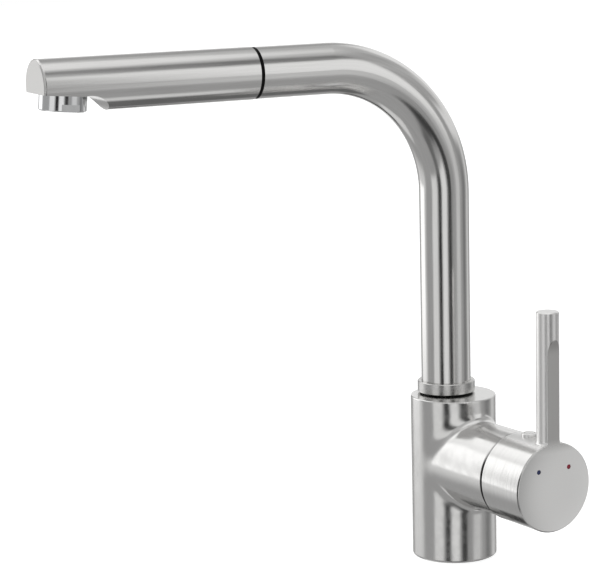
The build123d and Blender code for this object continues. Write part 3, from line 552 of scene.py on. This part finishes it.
def lever_finish(rings, bars):
    """Turned rings on the cap, a fine even satin on its disc, strokes up the lever, a duller milled flat;
    painted shade up the flat's run-out and on the cap's back in the gap.
    """
    material, tree, shader = new_finish("lever_satin", STEEL, metallic=1.0, roughness=0.22)
    out, _, up = axes_of(tree, object_place(tree))
    lever_foot = HOUSING_HEIGHT + CAP_RADIUS
    on_lever = ramp_between(tree, up, *[lever_foot + above for above in LEVER_STARTS])
    past_top = number(tree, "MAXIMUM", number(tree, "SUBTRACT", up, FLAT_TOP), 0.0)
    square = number(tree, "MULTIPLY", past_top, past_top)
    run_out = number(tree, "DIVIDE", square, 2 * FLAT_CUTTER_RADIUS)
    before_flat = number(tree, "SUBTRACT", out, run_out)
    in_front = ramp_between(tree, before_flat, *[CAP_FRONT - behind for behind in FRONT_STARTS])
    # painted shade on the cap's back face inside the gap to the housing
    cap_back_painted_shade = number(tree, "LESS_THAN", out, PARTING[1] + EDGE_SLACK)
    on_flat = number(tree, "MULTIPLY", on_lever, in_front)
    on_disc = number(tree, "MULTIPLY", in_front, number(tree, "SUBTRACT", 1.0, on_lever))

    turned = place_group(tree, rings, Ring_width=0.35 * MM)
    brushed = place_group(tree, bars, Across_X=2300, Across_Y=2300, Across_Z=45)
    height = blend_value(tree, on_lever, turned.outputs["Height"], brushed.outputs["Height"])
    tone = blend_value(tree, on_lever, turned.outputs["Tone"], brushed.outputs["Tone"])
    lever_roughness, disc_roughness = 0.34, 0.27
    rough = blend_value(tree, on_lever, uneven(tree, tone, low=0.12, high=0.17), lever_roughness)
    link(tree, blend_value(tree, on_disc, rough, disc_roughness), shader.inputs["Roughness"])

    lined = blend_colour(tree, ramp_between(tree, height, *LINE_RANGE), STEEL_DULL, STEEL)
    bright = blend_colour(tree, number(tree, "MAXIMUM", on_lever, on_disc), lined, LEVER_BRIGHT)
    # the flat's duller colour, carried up the run-out above it as painted shade
    outside = blend_colour(tree, on_flat, bright, FLAT_DULL_AND_SHADE)
    link(tree, blend_colour(tree, cap_back_painted_shade, outside, GAP_PAINTED_SHADE), shader.inputs["Base Color"])

    dish = number(tree, "MULTIPLY", turned.outputs["Dish"], on_disc)
    dished = raise_surface(tree, shader, dish, 1.0, DISH_DEPTH)
    cap_strokes, lever_strokes, less_on_disc = 0.3, 0.6, 0.85
    quiet = number(tree, "SUBTRACT", 1.0, number(tree, "MULTIPLY", on_disc, less_on_disc))
    strength = number(tree, "MULTIPLY", blend_value(tree, on_lever, cap_strokes, lever_strokes), quiet)
    scaled = number(tree, "MULTIPLY", height, strength)
    raise_surface(tree, shader, scaled, 1.0, STROKE_DEPTH, dished)
    return material


def bright_chrome(grain):
    material, tree, shader = new_finish("bright_chrome", CHROME, metallic=1.0, roughness=0.1)
    surface = place_group(tree, grain, Waves=90)
    link(tree, uneven(tree, surface.outputs["Tone"], low=0.07, high=0.14), shader.inputs["Roughness"])
    raise_surface(tree, shader, surface.outputs["Waves"], strength=0.2, distance=0.3 * MM)
    return material


def grained(made, surface, colours, limits, strength, distance):
    """A grain into the colour, the roughness and the surface of a finish just made."""
    material, tree, shader = made
    link(tree, uneven(tree, surface.outputs["Tone"], *limits), shader.inputs["Roughness"])
    link(tree, blend_colour(tree, surface.outputs["Height"], *colours), shader.inputs["Base Color"])
    raise_surface(tree, shader, surface.outputs["Height"], strength, distance)
    return material


def plain_metal(grain, name, colour, dull, roughness):
    made = new_finish(name, colour, metallic=1.0, roughness=roughness)
    surface = place_group(made[1], grain, Grain=1100)
    limits = (roughness * 0.8, roughness * 1.3)
    return grained(made, surface, (dull, colour), limits, strength=0.2, distance=0.03 * MM)


def moulded(grain, name, colour, worn, roughness, texture=0.25, gloss=0.5):
    made = new_finish(name, colour, metallic=0.0, roughness=roughness)
    made[2].inputs["Specular IOR Level"].default_value = gloss
    surface = place_group(made[1], grain, Grain=1800)
    limits = (roughness * 0.85, roughness * 1.2)
    return grained(made, surface, (worn, colour), limits, strength=texture, distance=0.04 * MM)


FIBRE_GREY = (0.36, 0.37, 0.38, 1)
FIBRE_DARK = (0.33, 0.34, 0.35, 1)
FIBRE_LIGHT = (0.52, 0.53, 0.54, 1)
# painted shade in the grooves of the braid
STRAND_PAINTED_SHADE = (0.10, 0.10, 0.11, 1)
STRAND_LIFT = 0.35  # of the strands on top, in strand heights
STRAND_SHADE = (0.35, 1.1)  # the heights between which a strand comes out of the painted shade
FIBRES = (260, 40, 1)  # once round the hose, and in a turn of the braid


def braided_jacket():
    """A woven nylon braid, laid out on the hose's own map: once round, and along in turns of the braid."""
    material, tree, shader = new_finish("braided_jacket", FIBRE_GREY, metallic=0.0, roughness=0.45)
    where = tree.nodes.new("ShaderNodeUVMap")
    where.uv_map = "laid"
    once_round, in_turns, _ = axes_of(tree, where.outputs[0])
    around = number(tree, "MULTIPLY", once_round, BRAID_STRANDS)
    along = number(tree, "MULTIPLY", in_turns, BRAID_STRANDS)
    strands = []
    for way in ("ADD", "SUBTRACT"):
        phase = number(tree, "FRACT", number(tree, way, around, along))
        middle = number(tree, "ABSOLUTE", number(tree, "SUBTRACT", phase, 0.5))
        strands.append(number(tree, "SUBTRACT", 1.0, number(tree, "MULTIPLY", middle, 2.0)))
    over = number(tree, "FRACT", number(tree, "MULTIPLY", number(tree, "ADD", around, along), 0.5))
    first_over = number(tree, "GREATER_THAN", over, 0.5)
    lifted = number(tree, "ADD", strands[0], number(tree, "MULTIPLY", first_over, STRAND_LIFT))
    height = number(tree, "MAXIMUM", lifted, strands[1])
    shade = ramp_between(tree, height, *STRAND_SHADE)
    fibre = noise(tree, stretched(tree, where.outputs[0], FIBRES), 1.0)
    tone = blend_colour(tree, fibre, FIBRE_DARK, FIBRE_LIGHT)
    # painted shade between the strands and where one strand passes under the other
    link(tree, blend_colour(tree, shade, STRAND_PAINTED_SHADE, tone), shader.inputs["Base Color"])
    link(tree, uneven(tree, fibre, low=0.35, high=0.55), shader.inputs["Roughness"])
    raise_surface(tree, shader, height, strength=0.6, distance=0.25 * MM)
    return material


# ---------------------------------------------------------------- the hose
def pulled_length(place):
    """How far along the pulled-out hose a place on the arm lies, from where the stretch begins."""
    share = min(max((place - STRETCH_FROM) / (STRETCH_TO - STRETCH_FROM), 0.0), 1.0)
    return place - STRETCH_FROM + PULL_OUT * share * share * (3 - 2 * share)


def place_at(length):
    """The place on the arm at rest of a length along the pulled-out hose."""
    low, high = STRETCH_FROM, HOSE_END
    for _ in range(HALVINGS):
        middle = (low + high) / 2
        if pulled_length(middle) < length:
            low = middle
        else:
            high = middle
    return (low + high) / 2


def middle_line(along):
    """The hose's frame at a length from the deck: up the riser, round the bend, out along the arm."""
    if along < BEND_START:
        return Matrix.Translation((0, 0, along))
    middle = Vector((0, -BEND_RADIUS, BEND_START))
    turn = min((along - BEND_START) / BEND_RADIUS, pi / 2)
    round_bend = Matrix.Translation(middle) @ Matrix.Rotation(turn, 4, "X") @ Matrix.Translation(-middle)
    slide = max(along - BEND_START - BEND_ARC, 0.0)
    return Matrix.Translation((0, -slide, 0)) @ round_bend @ Matrix.Translation((0, 0, BEND_START))


def hose_lengths():
    """Each ring's length from the deck, at rest and once pulled out, when the rings are evenly spaced."""
    to_arm = BEND_START + BEND_ARC - BEND_RADIUS  # from a place on the arm to its length from the deck
    stretch_start = STRETCH_FROM + to_arm  # in the last part of the bend
    lengths = []
    here = HOSE_FOOT
    while here < stretch_start:
        lengths.append((here, here))
        here += HIDDEN_STEP
    total = pulled_length(HOSE_END)
    steps = round(total / HOSE_STEP)
    for i in range(steps + 1):
        laid = total * i / steps
        lengths.append((place_at(laid) + to_arm, stretch_start + laid))
    return lengths


def by_corners(face):
    """A face's lowest and highest corner as one number, to list the faces alike in every run."""
    places = [corner.index for corner in face.verts]
    beyond_all = 1e6  # more than the hose has corners
    return min(places) * beyond_all + max(places)


def make_hose(jacket):
    """A round hose through riser, bend and arm, with its length laid out on its map."""
    spout = Matrix.Translation(RISER) @ Matrix.Rotation(SPOUT_TURN, 4, "Z")

    shape = bmesh.new()
    uv = shape.loops.layers.uv.new("laid")
    side_of = shape.verts.layers.int.new("side")
    laid_at = shape.verts.layers.float.new("laid_at")
    bmesh.ops.create_circle(shape, cap_ends=False, segments=HOSE_SIDES, radius=HOSE_RADIUS)
    ring = list(shape.edges)
    shape.verts.ensure_lookup_table()
    for i, corner in enumerate(shape.verts):
        corner[side_of] = i
    before = Matrix.Identity(4)
    for i, (along, laid) in enumerate(hose_lengths()):
        now = spout @ middle_line(along)
        if i:
            grown = bmesh.ops.extrude_edge_only(shape, edges=ring)["geom"]
            ring = [g for g in grown if isinstance(g, bmesh.types.BMEdge)]
            moved = [g for g in grown if isinstance(g, bmesh.types.BMVert)]
        else:
            moved = list(shape.verts)
        bmesh.ops.transform(shape, matrix=now @ before.inverted(), verts=moved)
        for corner in moved:
            corner[laid_at] = laid
        before = now
    bmesh.ops.recalc_face_normals(shape, faces=shape.faces)
    shape.verts.index_update()
    shape.faces.sort(key=by_corners)
    for face in shape.faces:
        face.smooth = True
        sides = [loop.vert[side_of] for loop in face.loops]
        seam = max(sides) - min(sides) > HOSE_SIDES / 2
        for loop, side in zip(face.loops, sides):
            if seam and side < HOSE_SIDES / 2:
                side += HOSE_SIDES
            loop[uv].uv = (side / HOSE_SIDES, loop.vert[laid_at] / BRAID_PITCH)
    mesh = bpy.data.meshes.new("braided_hose")
    shape.to_mesh(mesh)
    shape.free()
    mesh.materials.append(jacket)
    hose = bpy.data.objects.new("braided_hose", mesh)
    bpy.context.scene.collection.objects.link(hose)

    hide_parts("pullout_hose")
    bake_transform(hose)
    return hose


# ---------------------------------------------------------------- finishes onto the solids
# each with the colour it has where it is dull or worn
RING_STEEL = ((0.68, 0.675, 0.665, 1), (0.60, 0.595, 0.585, 1))
BRASS = ((0.80, 0.58, 0.28, 1), (0.66, 0.46, 0.20, 1))
SCREW_STEEL = ((0.62, 0.62, 0.63, 1), (0.46, 0.46, 0.47, 1))
BLACK_RUBBER = ((0.022, 0.022, 0.023, 1), (0.035, 0.035, 0.036, 1))
BLACK_PLASTIC = ((0.002, 0.002, 0.002, 1), (0.004, 0.004, 0.004, 1))
GREY_PLASTIC = ((0.24, 0.25, 0.26, 1), (0.28, 0.29, 0.30, 1))
WHITE_PLASTIC = ((0.80, 0.79, 0.76, 1), (0.74, 0.73, 0.70, 1))
CERAMIC = ((0.86, 0.85, 0.82, 1), (0.80, 0.79, 0.76, 1))
BLUE_ENAMEL = ((0.006, 0.014, 0.07, 1), (0.01, 0.02, 0.09, 1))
RED_ENAMEL = ((0.18, 0.004, 0.018, 1), (0.24, 0.008, 0.024, 1))


def dress(frame):
    strokes = pipe_strokes_group()
    bars = bar_strokes_group()
    rings = turned_rings_group()
    grain = cast_grain_group()

    finishes = {
        brushed_pipe(strokes): ["spout_tube", "spray_head_shell"],
        plain_metal(grain, "satin_ring", *RING_STEEL, 0.24): ["swivel_collar"],
        satin_casting(grain): ["body"],
        lever_finish(rings, bars): ["lever_handle"],
        plain_metal(grain, "satin_cover", STEEL, STEEL_DULL, 0.24): ["dome_cover", "screw_plug"],
        bright_chrome(grain): ["aerator_housing"],
        plain_metal(grain, "turned_brass", *BRASS, 0.28): [
            "spout_spigot",
            "hose_connector",
            "retaining_nut",
            "hose_ferrule",
        ],
        plain_metal(grain, "screw_steel", *SCREW_STEEL, 0.3): [
            "spout_retaining_screw",
            "stem_pin",
            "cartridge_stem",
            "handle_screw",
        ],
        moulded(grain, "black_rubber", *BLACK_RUBBER, 0.7, texture=0.4): [
            "base_seal",
            "connector_seal",
            "aerator_seal",
            "cartridge_port_seals",
        ],
        moulded(grain, "black_moulding", *BLACK_PLASTIC, 0.5, gloss=0.08): [
            "dock_ring",
            "dock_sleeve",
            "upper_swivel_bush",
        ],
        moulded(grain, "grey_moulding", *GREY_PLASTIC, 0.45): [
            "aerator_insert",
            "temperature_carrier",
            "disc_driver",
            "head_waterway",
            "hose_guide",
        ],
        moulded(grain, "white_moulding", *WHITE_PLASTIC, 0.4): [
            "lower_swivel_bush",
            "check_valve",
            "cartridge_base",
            "cartridge_housing",
        ],
        moulded(grain, "valve_ceramic", *CERAMIC, 0.22, texture=0.1): [
            "fixed_ceramic_disc",
            "moving_ceramic_disc",
        ],
        moulded(grain, "blue_enamel", *BLUE_ENAMEL, 0.3, texture=0.1): ["cold_marker"],
        moulded(grain, "red_enamel", *RED_ENAMEL, 0.3, texture=0.1): ["hot_marker"],
    }
    dressed = set()
    for finish, names in finishes.items():
        for name in names:
            mesh = frame["nodes"][name].data
            mesh.materials.clear()
            mesh.materials.append(finish)
            dressed.add(name)
    left = sorted(set(frame["nodes"]) - dressed - {"pullout_hose"})
    if left:
        raise ValueError(f"these nodes have no finish: {left}")


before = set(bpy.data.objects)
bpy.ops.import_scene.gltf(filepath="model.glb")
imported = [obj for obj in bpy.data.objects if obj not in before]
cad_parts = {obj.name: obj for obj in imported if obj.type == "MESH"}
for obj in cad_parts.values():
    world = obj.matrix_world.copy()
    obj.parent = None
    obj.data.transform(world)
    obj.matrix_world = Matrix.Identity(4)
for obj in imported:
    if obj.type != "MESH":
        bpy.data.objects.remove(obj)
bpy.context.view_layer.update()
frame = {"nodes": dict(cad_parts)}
bpy.context.scene.view_settings.view_transform = "Standard"
set_the_camera()
light_the_studio()
lay_the_floor()
dress(frame)
make_hose(braided_jacket())
